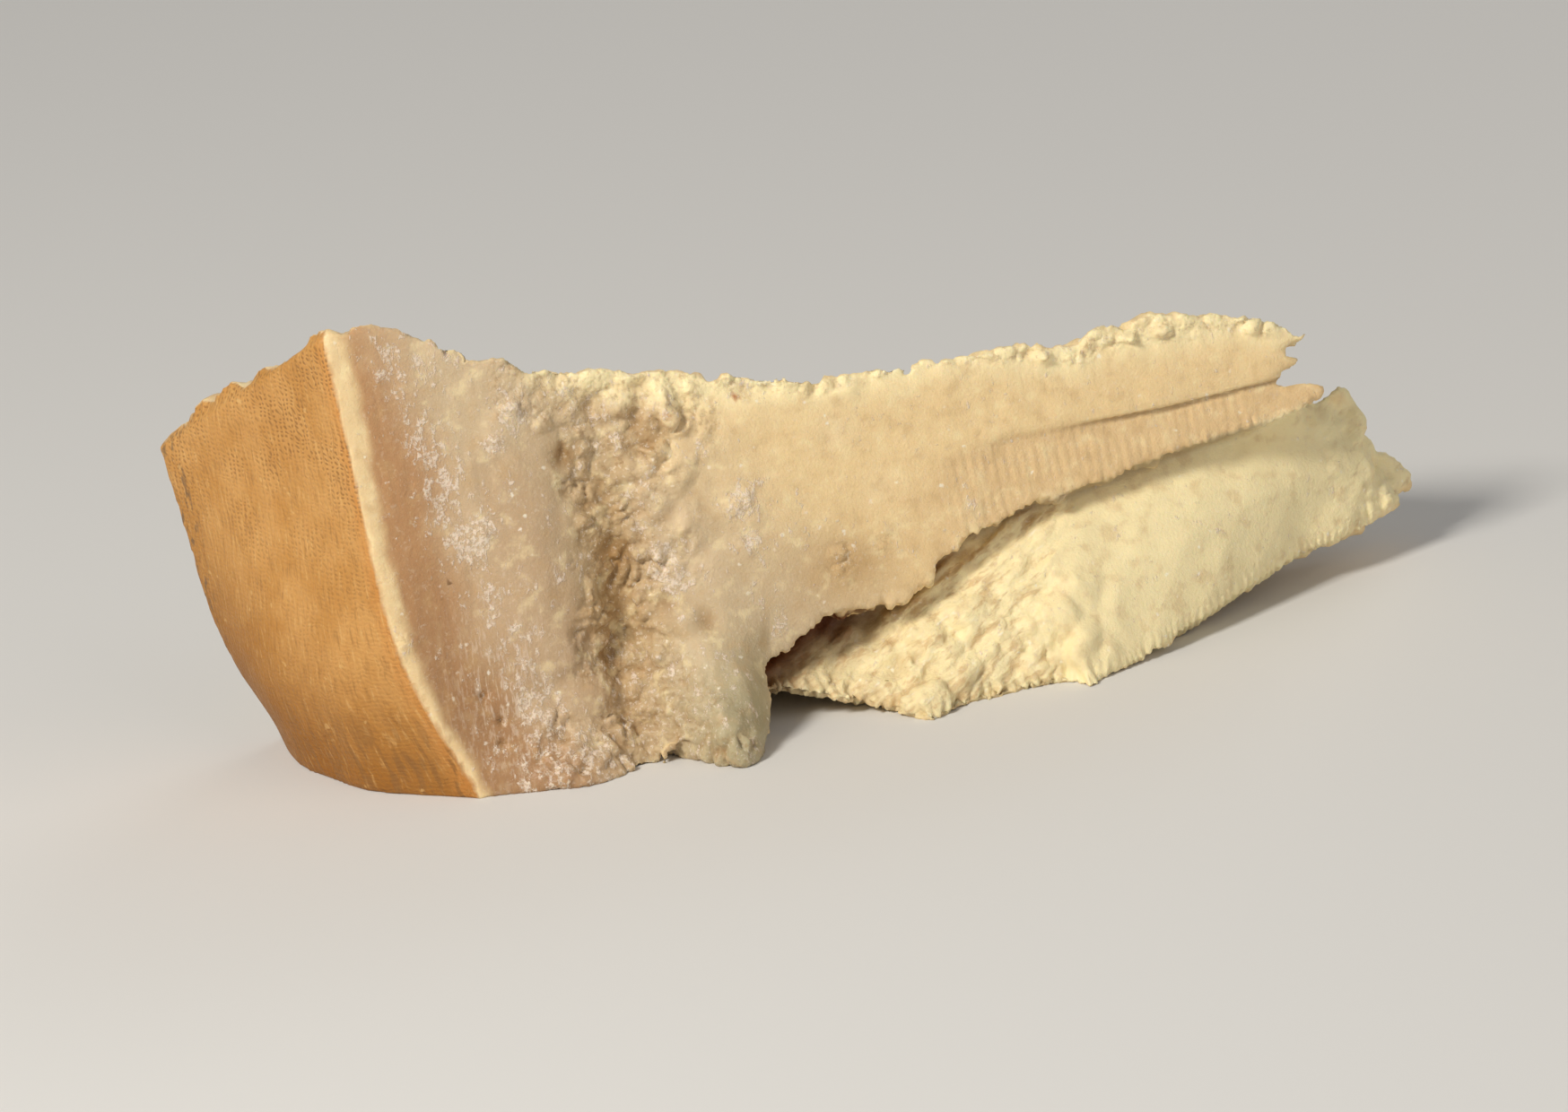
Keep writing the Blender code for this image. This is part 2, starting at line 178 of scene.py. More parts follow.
CREASE_SHADE = (146, 106, 54)
CREVICE_SHADE = (92, 40, 2)
POWDER = (234, 216, 196)
CRYSTAL_AND_CREST_HIGHLIGHT = (255, 248, 232)
SPECK = (176, 100, 44)
PALE = (244, 222, 178)


def smooth_step(low, high, value):
    share = np.clip((value - low) / (high - low), 0.0, 1.0)
    return share * share * (3.0 - 2.0 * share)


def hump(span, value):
    """Rises over the first two values of a span and falls over its last two."""
    return smooth_step(span[0], span[1], value) * (1.0 - smooth_step(span[2], span[3], value))


def mound(place, centre, reach):
    """A round rise of height 1 that is about `reach` wide to each side."""
    away = sum(((p - c) / r) ** 2 for p, c, r in zip(place, centre, reach))
    return np.exp(-away)


def marks(places, x, z):
    """Round marks on the front, each 1 at its middle."""
    return np.maximum.reduce([mound((x, z), (a, b), (r, r)) for a, b, r in places])


def read_curve(points, x):
    xs, values = zip(*points)
    return np.interp(x, xs, values)


def scatter(cell, seed):
    """A value from 0 to 1 for each whole-numbered cell, the same in every run."""
    x, y, z = (cell[:, i].astype(np.uint32) for i in range(3))
    mixed = x * np.uint32(374761393) + y * np.uint32(668265263) + z * np.uint32(2246822519)
    mixed = mixed + np.uint32(seed * 40503)
    mixed = (mixed ^ (mixed >> np.uint32(15))) * np.uint32(2246822519)
    mixed = (mixed ^ (mixed >> np.uint32(13))) * np.uint32(3266489917)
    return ((mixed ^ (mixed >> np.uint32(16))) & np.uint32(0xFFFFFF)) / float(0xFFFFFF)


def waves(spots, size, seed):
    """Smooth noise from -1 to 1 on a lattice of this size, or of a size for each axis."""
    place = spots / size
    cell = np.floor(place).astype(np.int64)
    share = place - cell
    share = share ** 3 * (share * (share * 6.0 - 15.0) + 10.0)
    total = np.zeros(len(spots))
    for corner in np.ndindex(2, 2, 2):
        weight = np.prod(np.where(corner, share, 1.0 - share), axis=1)
        total += weight * scatter(cell + np.array(corner), seed)
    return 2.0 * total - 1.0


def rough_waves(spots, size, seed, octaves=3):
    size = np.asarray(size, dtype=float)
    total = sum(waves(spots, size / 2 ** i, seed + i) / 2 ** i for i in range(octaves))
    return total / (2.0 - 2.0 ** (1 - octaves))


def grains(spots, size, seed):
    """Scattered grains: how far off the nearest one and the next are, and a value for each."""
    place = spots / size
    cell = np.floor(place).astype(np.int64)
    first = np.full(len(spots), 9.0)
    second = np.full(len(spots), 9.0)
    value = np.zeros(len(spots))
    for corner in np.ndindex(3, 3, 3):
        other = cell + np.array(corner) - 1
        point = other + np.stack([scatter(other, seed + i) for i in range(3)], axis=1)
        away = np.linalg.norm(place - point, axis=1)
        closer = away < first
        second = np.where(closer, first, np.minimum(second, away))
        value = np.where(closer, scatter(other, seed + 3), value)
        first = np.where(closer, away, first)
    return first, second, value


def nodules(spots, size, seed):
    """Rounded crumbs: about 0.6 on top of each, falling to -0.4 in the creases between."""
    first, second, value = grains(spots, size, seed)
    dome = np.minimum(1.0, 2.2 * (second - first)) * (1.0 - 0.5 * first ** 2)
    return dome * (0.7 + 0.6 * value) - 0.4


def rind_face(y, z):
    """Where the rind's outer face stands, its rounded foot included."""
    height = np.maximum(z, 0.0)
    for _ in range(4):
        depth = np.clip(y - FRONT_LEAN * height, 0.0, RIND_DEPTH)
        height = np.maximum(z, 0.0) / (1.0 - BACK_DROP * depth / RIND_DEPTH)
    tuck = RIND_TUCK * (1.0 - np.exp(-(height / RIND_TUCK_HEIGHT) ** RIND_TUCK_POWER))
    bulge = RIND_BULGE * hump(RIND_BULGE_SPAN, y) * np.exp(-(z / RIND_BULGE_HEIGHT) ** 2)
    return -tuck - RIND_LEAN * height - BACK_SWEEP * depth - bulge


def fine_skin(node):
    """A closed skin of small even faces over the node's solid, smoothed off its facets."""
    shape = bmesh.new()
    shape.from_mesh(node.data)
    bmesh.ops.remove_doubles(shape, verts=shape.verts, dist=1e-6)
    mesh = bpy.data.meshes.new("wedge")
    shape.to_mesh(mesh)
    shape.free()
    wedge = bpy.data.objects.new("wedge", mesh)
    bpy.context.scene.collection.objects.link(wedge)
    skin = wedge.modifiers.new("skin", "REMESH")
    skin.mode = "VOXEL"
    skin.voxel_size = VOXEL * MM
    soften = wedge.modifiers.new("soften", "SMOOTH")
    soften.factor = 0.5
    soften.iterations = SOFTEN_ROUNDS
    apply_modifiers(wedge)
    return wedge


def apply_modifiers(item):
    graph = bpy.context.evaluated_depsgraph_get()
    graph.update()
    item.data = bpy.data.meshes.new_from_object(item.evaluated_get(graph))
    item.modifiers.clear()


def read_vectors(mesh, name, count):
    values = np.zeros(count * 3)
    source = mesh.vertex_normals if name == "normal" else mesh.vertices
    source.foreach_get("vector" if name == "normal" else name, values)
    return values.reshape(-1, 3)


class Regions:
    """The wedge's regions, each from 0 to 1 at every point of its skin."""

    def __init__(self, spots, normals):
        x, y, z = spots.T
        self.spots = spots
        self.behind = y - FRONT_LEAN * z
        self.inward = x - rind_face(y, z)
        self.from_top = read_curve(TOP_EDGE, x) - z
        self.above_cut = z - read_curve(CUT_EDGE, x)

        past_edge = smooth_step(-0.2, 0.2, self.behind - self.inward)
        skin = 0.5 + 1.8 * smooth_step(0.3, 0.7, normals @ RIND_FACING)
        self.rind = past_edge * (1.0 - smooth_step(skin, skin + 0.4, self.inward))
        below_cut = smooth_step(-0.4, 0.5, -self.above_cut) * smooth_step(*SHELF_START, x)
        tip = smooth_step(*SLAB_END, x) * smooth_step(5.0, 7.0, self.behind)
        shelf = np.maximum(below_cut, tip)
        faces_front = 1.0 - smooth_step(-0.45, -0.1, normals[:, 1])
        front = faces_front * (1.0 - smooth_step(*FRONT_DEPTH, self.behind)) * (1.0 - self.rind)
        self.front = front * (1.0 - shelf)
        upward = smooth_step(-0.3, 0.1, normals[:, 2])
        self.shelf = shelf * np.maximum(front, upward * (1.0 - smooth_step(20.0, 24.0, y)))
        self.broken = (1.0 - self.rind) * (1.0 - self.front) * (1.0 - self.shelf)

        off = x - read_curve(CHANNEL, z)
        channel = np.exp(-(off / np.where(off < 0.0, 5.5, 10.0)) ** 2)
        under_top = hump((6.0, 13.0, 36.0, 48.0), x) * (1.0 - smooth_step(4.0, 15.0, self.from_top))
        foot = hump((4.0, 9.0, 29.0, 33.0), x) * (1.0 - smooth_step(5.0, 12.0, z))
        rim = 0.75 * (1.0 - smooth_step(0.8, 3.5, self.from_top)) * smooth_step(2.0, 12.0, x)
        dimple = 0.6 * mound((x, z), (DENT, 21.0), (7.0, 4.5))
        loose = np.maximum.reduce([channel, 0.8 * under_top, foot, rim, dimple])
        loose = smooth_step(0.22, 0.72, loose + 0.28 * waves(spots, 3.2, 3))
        self.patches = marks(DUST_PATCHES, x, z) * self.front
        self.pits = marks(PITS, x, z) * self.front
        self.crumb = np.maximum(loose, 0.7 * self.patches) * self.front
        self.cut = self.front * (1.0 - self.crumb)
        fold_end = x - FOLD_END - 0.7 * np.maximum(z - 8.0, 0.0) + 2.0 * waves(spots, 4.0, 7)
        self.flaky = self.shelf * (1.0 - smooth_step(-3.0, 3.0, fold_end))
        roughened = smooth_step(120.0, 134.0, x) * (0.8 + 0.5 * waves(spots, 4.0, 13))
        self.rough_end = self.shelf * smooth_step(0.3, 0.6, roughened)
        self.tuft = self.shelf * mound((x, z), TUFT, (5.0, 6.5))


def warped(spots, size, amount, seed):
    """The points, each moved by up to `amount` in waves, so that what is laid on them bends."""
    return spots + amount * np.stack([waves(spots, size, seed + i) for i in range(3)], axis=1)


def crumble(regions):
    """How far each point of the skin is pushed out, in millimetres."""
    spots = regions.spots
    x, y, z = spots.T
    push = np.zeros(len(spots))

    broken = 0.85 * regions.broken * smooth_step(0.0, 6.0, regions.inward)
    loose = np.maximum.reduce([regions.crumb, broken, 0.10 * regions.flaky])
    loose = np.maximum(loose, 0.5 * regions.rough_end)
    bent = warped(warped(spots, 4.5, 1.6, 5), 1.5, 0.4, 9)
    clumped = 0.5 + 0.5 * smooth_step(-0.4, 0.3, waves(spots, 5.0, 31))
    small = smooth_step(-0.3, 0.4, waves(spots, 3.0, 37))
    push += loose * clumped * LUMP_HEIGHT * nodules(bent, LUMP_SIZE, 11)
    push += loose * clumped * small * CRUMB_HEIGHT * nodules(bent, CRUMB_SIZE, 23)
    push += loose * (0.22 * rough_waves(spots, 1.3, 29) + 0.45 * rough_waves(spots, 4.5, 41))
    push -= PIT_DEPTH * regions.pits
    push += PATCH_HEIGHT * regions.patches * (1.0 + rough_waves(spots, 1.4, 93))

    sawn = x + 0.06 * z + 0.15 * waves(spots, 9.0, 47)
    groove = np.cos(2.0 * math.pi * sawn / GROOVE_PITCH)
    lower = 1.0 - 0.6 * smooth_step(-0.5, 0.5, z - read_curve(STEP_LINE, x))
    push += GROOVE_DEPTH * groove * lower * regions.cut * hump(GROOVE_SPAN, x)

    scallop = np.exp(-(regions.above_cut / 1.3) ** 2) * smooth_step(42.0, 45.0, x)
    scallop *= 1.0 - smooth_step(4.0, 7.0, regions.behind)
    push += SCALLOP_HEIGHT * scallop * nodules(spots * np.array([1.0, 0.4, 0.6]), 1.4, 53)

    foot = np.exp(-((z - read_curve(SHELF_FOOT, x)) / 2.2) ** 2) * smooth_step(40.0, 42.0, x)
    foot *= (1.0 - smooth_step(10.0, 14.0, y)) * regions.shelf
    coarse = x < COARSE_TEETH_END
    phase = (x + 0.8 * waves(spots, 3.0, 55)) / np.where(coarse, COARSE_TOOTH[0], FINE_TOOTH[0])
    tooth = np.abs(phase - np.floor(phase) - 0.5) * 2.0
    push -= np.where(coarse, COARSE_TOOTH[1], FINE_TOOTH[1]) * foot * tooth

    turned = warped(fold_place(spots), 7.0, 1.0, 57)
    fold = 1.0 - 2.0 * np.abs(rough_waves(turned, (9.0, 30.0, 2.0), 61, 2))
    flake = 1.0 - 2.0 * np.abs(rough_waves(turned, (4.0, 12.0, 1.0), 63, 2))
    push += regions.flaky * (0.55 * fold + 0.50 * flake - 0.42)
    fibre = rough_waves(warped(spots, 4.0, 0.8, 65), (0.8, 2.0, 3.5), 67)
    push += regions.tuft * (0.5 + 0.6 * fibre)

    line = z - read_curve(STEP_LINE, x)
    crack = np.exp(-((line + 0.2) / 0.35) ** 2) * smooth_step(84.0, 100.0, x) * regions.front
    push -= CRACK_DEPTH * crack

    scratch = rough_waves(spots, (0.6, 2.0, 9.0), 87)
    push += SCRATCH_DEPTH * scratch * regions.cut * (1.0 - smooth_step(8.0, 20.0, x))
    push += regions.cut * SCRATCH_DEPTH * rough_waves(spots, 3.0, 91)
    push += regions.rind * RIND_WAVE * rough_waves(spots, 5.0, 89)
    return push


def fold_place(spots):
    """The points turned about the depth, so that the shelf's folds run up to the tip."""
    x, y, z = spots.T
    turn = math.radians(FOLD_SLOPE)
    along = x * math.cos(turn) + z * math.sin(turn)
    across = z * math.cos(turn) - x * math.sin(turn)
    return np.stack([along, y, across], axis=1)


def screen(colour):
    """A screen colour as the linear one that a shader takes."""
    share = np.asarray(colour, dtype=float) / 255.0
    return np.where(share <= 0.04045, share / 12.92, ((share + 0.055) / 1.055) ** 2.4)


def lay(under, colour, share):
    return under + (screen(colour) - under) * share[:, None]


def paste_colours(regions, push):
    """The paste's broad tints from the rind to the bright flakes, painted shade in its hollows and
    a painted highlight along the top rim, and where it is glassy.
    """
    spots = regions.spots
    x, y, z = spots.T
    colour = np.tile(screen(GREY_PASTE), (len(spots), 1))
    drift = x + 0.75 * (z - 25.0) + 5.0 * waves(spots, 10.0, 101)
    colour = lay(colour, GOLD_PASTE, smooth_step(34.0, 62.0, drift))
    lower = smooth_step(-0.3, 0.3, read_curve(STEP_LINE, x) - z) * smooth_step(56.0, 76.0, x)
    colour = lay(colour, TAN_PASTE, lower)
    colour = lay(colour, DIMPLE_TONE_AND_SHADE, 0.8 * mound((x, z), (DENT, 20.5), (7.0, 4.5)) * regions.front)
    # painted shade down the hollow in the front
    valley_shade = mound((x, z), (22.5, 20.0), (6.0, 26.0)) * regions.front
    colour = lay(colour, VALLEY_SHADE, 0.7 * valley_shade)
    lobe = mound((x, z), LOBE, (8.0, 10.0)) * regions.front
    colour = lay(colour, LOBE_PASTE, np.clip(1.2 * lobe, 0.0, 1.0))
    # a painted highlight along the top rim
    ridge_highlight = (1.0 - smooth_step(0.5, 6.0, regions.from_top)) * smooth_step(10.0, 20.0, x)
    colour = lay(colour, PALE_PASTE_AND_RIDGE_HIGHLIGHT, 0.9 * ridge_highlight * (1.0 - regions.shelf))
    colour = lay(colour, GOLD_PASTE, 0.85 * regions.broken)
    colour = lay(colour, SHELF_PASTE, regions.shelf)
    colour = lay(colour, PALE, 0.45 * marks(PALE_SPOTS, x, z) * regions.front)

    dull = hump((10.0, 17.0, 23.0, 31.0), regions.inward + 2.0 * waves(spots, 7.0, 111))
    dull *= hump((2.0, 12.0, 38.0, 52.0), z) * regions.front
    colour = lay(colour, DULL_PASTE, 0.62 * dull)
    width = 13.5 + 3.0 * waves(spots, 9.0, 103) - 0.08 * z
    glassy = (1.0 - smooth_step(width - 4.0, width + 6.0, regions.inward)) * (1.0 - regions.rind)
    glassy *= 1.0 - 0.55 * regions.broken
    colour = lay(colour, GLASSY, 0.92 * glassy)
    colour *= 1.0 - 0.24 * (glassy * (1.0 - smooth_step(8.0, 40.0, z)))[:, None]
    border = 0.8 + 1.3 * smooth_step(2.0, 26.0, z) + 0.8 * smooth_step(36.0, 62.0, z)
    border += 0.5 * waves(spots, 1.6, 107)
    edge = (1.0 - smooth_step(border - 0.5, border + 1.3, regions.inward)) * (1.0 - regions.rind)
    colour = lay(colour, CREAM, edge)

    # painted shade in the creases between crumbs and folds
    crease_shade = smooth_step(0.0, 0.6, -push) * np.maximum(regions.crumb, 0.5 * regions.flaky)
    crease_shade *= 1.0 - 0.7 * ridge_highlight
    colour = lay(colour, CREASE_SHADE, 0.55 * crease_shade)
    # painted shade in the shelf's hollows close under the slab
    shaded = regions.flaky * np.exp(-(regions.above_cut / 5.0) ** 2) * smooth_step(0.1, -0.5, push)
    colour = lay(colour, DIMPLE_TONE_AND_SHADE, 0.6 * shaded)
    # painted shade in the pits
    colour = lay(colour, CREASE_SHADE, 0.6 * regions.pits)
    colour = lay(colour, SPECK, smooth_step(0.3, 0.5, marks(SPECKS, x, z)) * regions.front)
    # a painted shadow along the crack under the upper layer
    crack = np.exp(-((z - read_curve(STEP_LINE, x) + 0.25) / 0.3) ** 2) * smooth_step(84.0, 96.0, x)
    colour = lay(colour, CREASE_SHADE, 0.5 * crack * regions.front)
    glassy *= 1.0 - edge
    return colour, np.clip(glassy + lobe, 0.0, 1.0)


def crevice_shade_share(regions):
    """Painted shade where the shelf runs in under the slab: wide at the left, and a thin line
    further on.
    """
    x, _, _ = regions.spots.T
    left = 1.0 - smooth_step(52.0, 64.0, x)
    under = -regions.above_cut - 0.35 * np.maximum(regions.behind, 0.0)
    deep = np.exp(-(np.maximum(under, 0.0) / (0.9 + 4.0 * left)) ** 2) * regions.shelf
    return deep * (0.55 + 0.45 * left) * (1.0 - smooth_step(112.0, 121.0, x))


def dust_share(regions):
    """How thickly dust and crumbs may lie: beside the rind, at the foot and in patches."""
    spots = regions.spots
    x, _, z = spots.T
    streak = np.exp(-((x - read_curve(DUST_LINE, z)) / 4.4) ** 2)
    streak *= 0.85 + 0.5 * waves(spots, 4.0, 105)
    foot = 0.9 * mound((x, z), (14.0, 3.0), (15.0, 5.5))
    corner = 0.7 * mound((x, z), (2.0, 60.0), (9.0, 4.0))
    thin = 0.55 * hump((6.0, 12.0, 44.0, 52.0), x) * smooth_step(-0.3, 0.5, waves(spots, 4.0, 109))
    share = np.maximum.reduce([streak, foot, corner, 1.7 * regions.patches, thin])
    return np.clip(share, 0.0, 1.5) * regions.front * smooth_step(2.0, 4.0, regions.inward)


def brushed_share(regions):
    """Where the paste beside the rind's foot was brushed into fine upright scratches."""
    x, _, z = regions.spots.T
    return mound((x, z), (5.0, 14.0), (6.5, 11.0)) * regions.front


def write_attribute(mesh, name, kind, values):
    attribute = mesh.attributes.new(name, kind, "POINT")
    field = {"FLOAT": "value", "FLOAT_VECTOR": "vector"}[kind]
    attribute.data.foreach_set(field, np.ascontiguousarray(values, dtype=np.float32).ravel())


def make_skin(wedge):
    """Crumble the skin and write what the material reads."""
    mesh = wedge.data
    count = len(mesh.vertices)
    spots = read_vectors(mesh, "co", count) / MM - CORNER
    normals = read_vectors(mesh, "normal", count)
    regions = Regions(spots, normals)
    push = crumble(regions)
    colour, glassy = paste_colours(regions, push)
    moved = spots + normals * push[:, None]
    moved[:, 2] = np.maximum(moved[:, 2], -CORNER[2])
    place = np.stack([regions.behind, spots[:, 2], regions.inward], axis=1)
    write_attribute(mesh, "paste", "FLOAT_VECTOR", colour)
    write_attribute(mesh, "rind_place", "FLOAT_VECTOR", place)
    write_attribute(mesh, "rind", "FLOAT", regions.rind)
    write_attribute(mesh, "powder", "FLOAT", dust_share(regions))
    write_attribute(mesh, "brushed", "FLOAT", brushed_share(regions))
    write_attribute(mesh, "glassy", "FLOAT", glassy)
    write_attribute(mesh, "crevice_shade", "FLOAT", crevice_shade_share(regions))
    crumbly = np.maximum.reduce([regions.crumb, 0.5 * regions.broken, 0.25 * regions.flaky])
    write_attribute(mesh, "crumbly", "FLOAT", crumbly)
    write_attribute(mesh, "flaky", "FLOAT", np.maximum(regions.flaky, 0.6 * regions.rough_end))
    mesh.vertices.foreach_set("co", ((moved + CORNER) * MM).ravel())
    mesh.update()
    triangles = sum(len(face.vertices) - 2 for face in mesh.polygons)
    if triangles > MOST_TRIANGLES:
        thin = wedge.modifiers.new("thin", "DECIMATE")
        thin.ratio = MOST_TRIANGLES / triangles
        apply_modifiers(wedge)


def camera():
    """The photograph's view: turned to the rind's side, looking down, and rolled a little."""
    right = Vector((math.cos(VIEW_TURN), -math.sin(VIEW_TURN), 0.0))
    level = Vector((math.sin(VIEW_TURN), math.cos(VIEW_TURN), 0.0))
    ahead = level * math.cos(VIEW_DOWN) - Vector((0.0, 0.0, math.sin(VIEW_DOWN)))
    up = right.cross(ahead)
    across = right * math.cos(VIEW_ROLL) - up * math.sin(VIEW_ROLL)
    upward = up * math.cos(VIEW_ROLL) + right * math.sin(VIEW_ROLL)
    aim = (Vector(CORNER) + across * VIEW_RIGHT + upward * VIEW_UP) * MM
    lens = bpy.data.cameras.new("camera")
    lens.sensor_width = SENSOR
    lens.lens = SENSOR * VIEW_DISTANCE / FRAME_WIDTH
    eye = bpy.data.objects.new("camera", lens)
    turn = Matrix((across, upward, -ahead)).transposed()
    eye.matrix_world = Matrix.Translation(aim - ahead * VIEW_DISTANCE) @ turn.to_4x4()
    bpy.context.scene.collection.objects.link(eye)
    bpy.context.scene.camera = eye


def area_light(name, toward, distance, size, power, colour):
    """A soft square light, placed along a direction from the wedge and turned to face it."""
    lamp = bpy.data.lights.new(name, "AREA")
    lamp.size = size
    lamp.energy = power
    lamp.color = colour
    item = bpy.data.objects.new(name, lamp)
    place = Vector(toward).normalized() * distance
    item.location = place
    item.rotation_euler = place.to_track_quat("Z", "Y").to_euler()
    bpy.context.scene.collection.objects.link(item)


def studio():
    area_light("key", (-0.64, -0.38, 0.66), 1.1, 0.24, 10.0, (1.0, 0.96, 0.89))
    area_light("fill", (0.50, -0.80, 0.42), 1.6, 1.4, 5.2, (1.0, 0.97, 0.93))
    area_light("back", (0.8, 0.75, 0.55), 1.5, 0.8, 3.6, (1.0, 0.98, 0.95))
    world = bpy.data.worlds.new("studio")
    world.use_nodes = True
    world.node_tree.nodes["Background"].inputs["Color"].default_value = (0.95, 0.95, 0.95, 1.0)
    world.node_tree.nodes["Background"].inputs["Strength"].default_value = WORLD_STRENGTH
    bpy.context.scene.world = world
    bpy.context.scene.view_settings.view_transform = "Standard"


def floor():
    bpy.ops.mesh.primitive_plane_add(size=FLOOR_SIZE, location=(0.0, 0.0, 0.0))
    plane = bpy.context.object
    plane.name = "floor"
    surface = bpy.data.materials.new("floor")
    surface.use_nodes = True
    shader = surface.node_tree.nodes["Principled BSDF"]
    shader.inputs["Base Color"].default_value = FLOOR_COLOUR
    shader.inputs["Roughness"].default_value = FLOOR_ROUGHNESS
    plane.data.materials.append(surface)


class Nodes:
    """Small helpers that add and join a material's nodes."""

    def __init__(self, tree):
        self.tree = tree

    def add(self, kind, output=0, settings=(), **sockets):
        made = self.tree.nodes.new(kind)
        for name, value in settings:
            setattr(made, name, value)
        for name, value in sockets.items():
            self.feed(made.inputs[name.replace("_", " ")], value)
        return made.outputs[output]

    def feed(self, socket, value):
        if isinstance(value, bpy.types.NodeSocket):
            self.tree.links.new(value, socket)
        else:
            socket.default_value = value

    def attribute(self, name, output):
        return self.add("ShaderNodeAttribute", output, [("attribute_name", name)])

    def maths(self, operation, *values):
        made = self.tree.nodes.new("ShaderNodeMath")
        made.operation = operation
        for socket, value in zip(made.inputs, values):
            self.feed(socket, value)
        return made.outputs[0]

    def times(self, first, *others):
        for other in others:
            first = self.maths("MULTIPLY", first, other)
        return first

    def mix(self, share, under, over):
        made = self.tree.nodes.new("ShaderNodeMix")
        made.data_type = "RGBA"
        for socket, value in ((0, share), (6, under), (7, over)):
            self.feed(made.inputs[socket], value)
        return made.outputs[2]

    def mix_values(self, share, under, over):
        return self.add("ShaderNodeMix", 0, [("data_type", "FLOAT")], Factor=share, A=under, B=over)

    def span(self, value, low, high, bottom=0.0, top=1.0):
        """The value's place between low and high, eased and given the range bottom to top."""
        eased = [("interpolation_type", "SMOOTHSTEP")]
        return self.add("ShaderNodeMapRange", 0, eased, Value=value, From_Min=low, From_Max=high,
                        To_Min=bottom, To_Max=top)

    def scaled(self, place, *scale):
        return self.add("ShaderNodeMapping", 0, (), Vector=place, Scale=scale)

    def noise(self, place, size, detail=2.0, roughness=0.5):
        return self.add("ShaderNodeTexNoise", 0, (), Vector=place, Scale=1.0 / size, Detail=detail,
                        Roughness=roughness)


def linear(colour):
    return (*screen(colour), 1.0)


def rind_colour(nodes, millimetres):
    """Golden rind with the cloth's print in rows of short dark marks, browner toward its foot with
    painted shade where it tucks under, and the print's height.
    """
    place = nodes.attribute("rind_place", 1)
    parts = nodes.tree.nodes.new("ShaderNodeSeparateXYZ")
    nodes.feed(parts.inputs[0], place)
    depth, height = parts.outputs[0], parts.outputs[1]

    blotch = nodes.noise(millimetres, 8.0, 2.0)
    colour = nodes.mix(nodes.span(blotch, 0.38, 0.66), linear(RIND), linear(RIND_TAN))
    # browner rind toward the foot, and painted shade where the foot tucks under
    lowness = nodes.maths("SUBTRACT", height, nodes.times(depth, 0.5))
    colour = nodes.mix(nodes.span(lowness, 22.0, -10.0, 0.0, 0.97), colour, linear(RIND_FOOT_TONE_AND_SHADE))
    colour = nodes.mix(nodes.span(depth, 3.0, 0.4, 0.0, 0.45), colour, linear(RIND_BLUSH))

    stretched = nodes.scaled(place, 1.0, 0.14, 0.0)
    streak = nodes.noise(stretched, 0.5, 3.0, 0.6)
    colour = nodes.mix(nodes.span(streak, 0.52, 0.7, 0.0, 0.45), colour, linear(RIND_MARK))
    colour = nodes.mix(nodes.span(streak, 0.46, 0.3, 0.0, 0.4), colour, linear(RIND_PALE))

    wobble = nodes.times(nodes.noise(millimetres, 2.0, 2.0), 1.6)
    across = nodes.maths("SINE", nodes.times(nodes.maths("ADD", depth, wobble), 6.6))
    along = nodes.maths("SINE", nodes.times(nodes.maths("ADD", height, wobble), 9.0))
    weave = nodes.maths("ADD", nodes.times(across, 0.5), nodes.times(along, 0.5))
    where = nodes.span(nodes.noise(millimetres, 7.0, 2.0), 0.40, 0.62, 0.25, 1.0)
    higher = nodes.span(height, 20.0, 52.0, 0.35, 1.0)
    printed = nodes.times(nodes.span(weave, 0.15, 0.7), where, higher, 0.75)
    colour = nodes.mix(printed, colour, linear(RIND_MARK))

    low = nodes.span(height, 16.0, 4.0)
    mottle = nodes.span(nodes.noise(stretched, 0.9, 2.0), 0.48, 0.60)
    colour = nodes.mix(nodes.times(mottle, low, 0.8), colour, linear(RIND_MARK))

    spots = nodes.noise(nodes.scaled(millimetres, 1.0, 1.0, 0.45), 0.9, 2.0)
    far_edge = nodes.span(depth, RIND_DEPTH - 3.5, RIND_DEPTH - 0.5)
    grey = nodes.times(nodes.span(spots, 0.55, 0.66), far_edge, 0.6)
    colour = nodes.mix(grey, colour, linear(RIND_GREY))
    pale = nodes.span(nodes.noise(millimetres, 1.6, 1.0), 0.72, 0.78, 0.0, 0.5)
    return nodes.mix(pale, colour, linear(RIND_PALE)), weave


def fold_noise(nodes, millimetres, flaky):
    """Fine folds along the shelf's slope, from 0 in the creases, and level where it is smooth."""
    turn = (0.0, math.radians(FOLD_SLOPE), 0.0)
    turned = nodes.add("ShaderNodeMapping", 0, (), Vector=millimetres, Rotation=turn)
    wavy = nodes.noise(nodes.scaled(turned, 0.3, 0.5, 1.0), 1.3, 3.0, 0.62)
    return nodes.mix_values(flaky, 0.56, wavy)


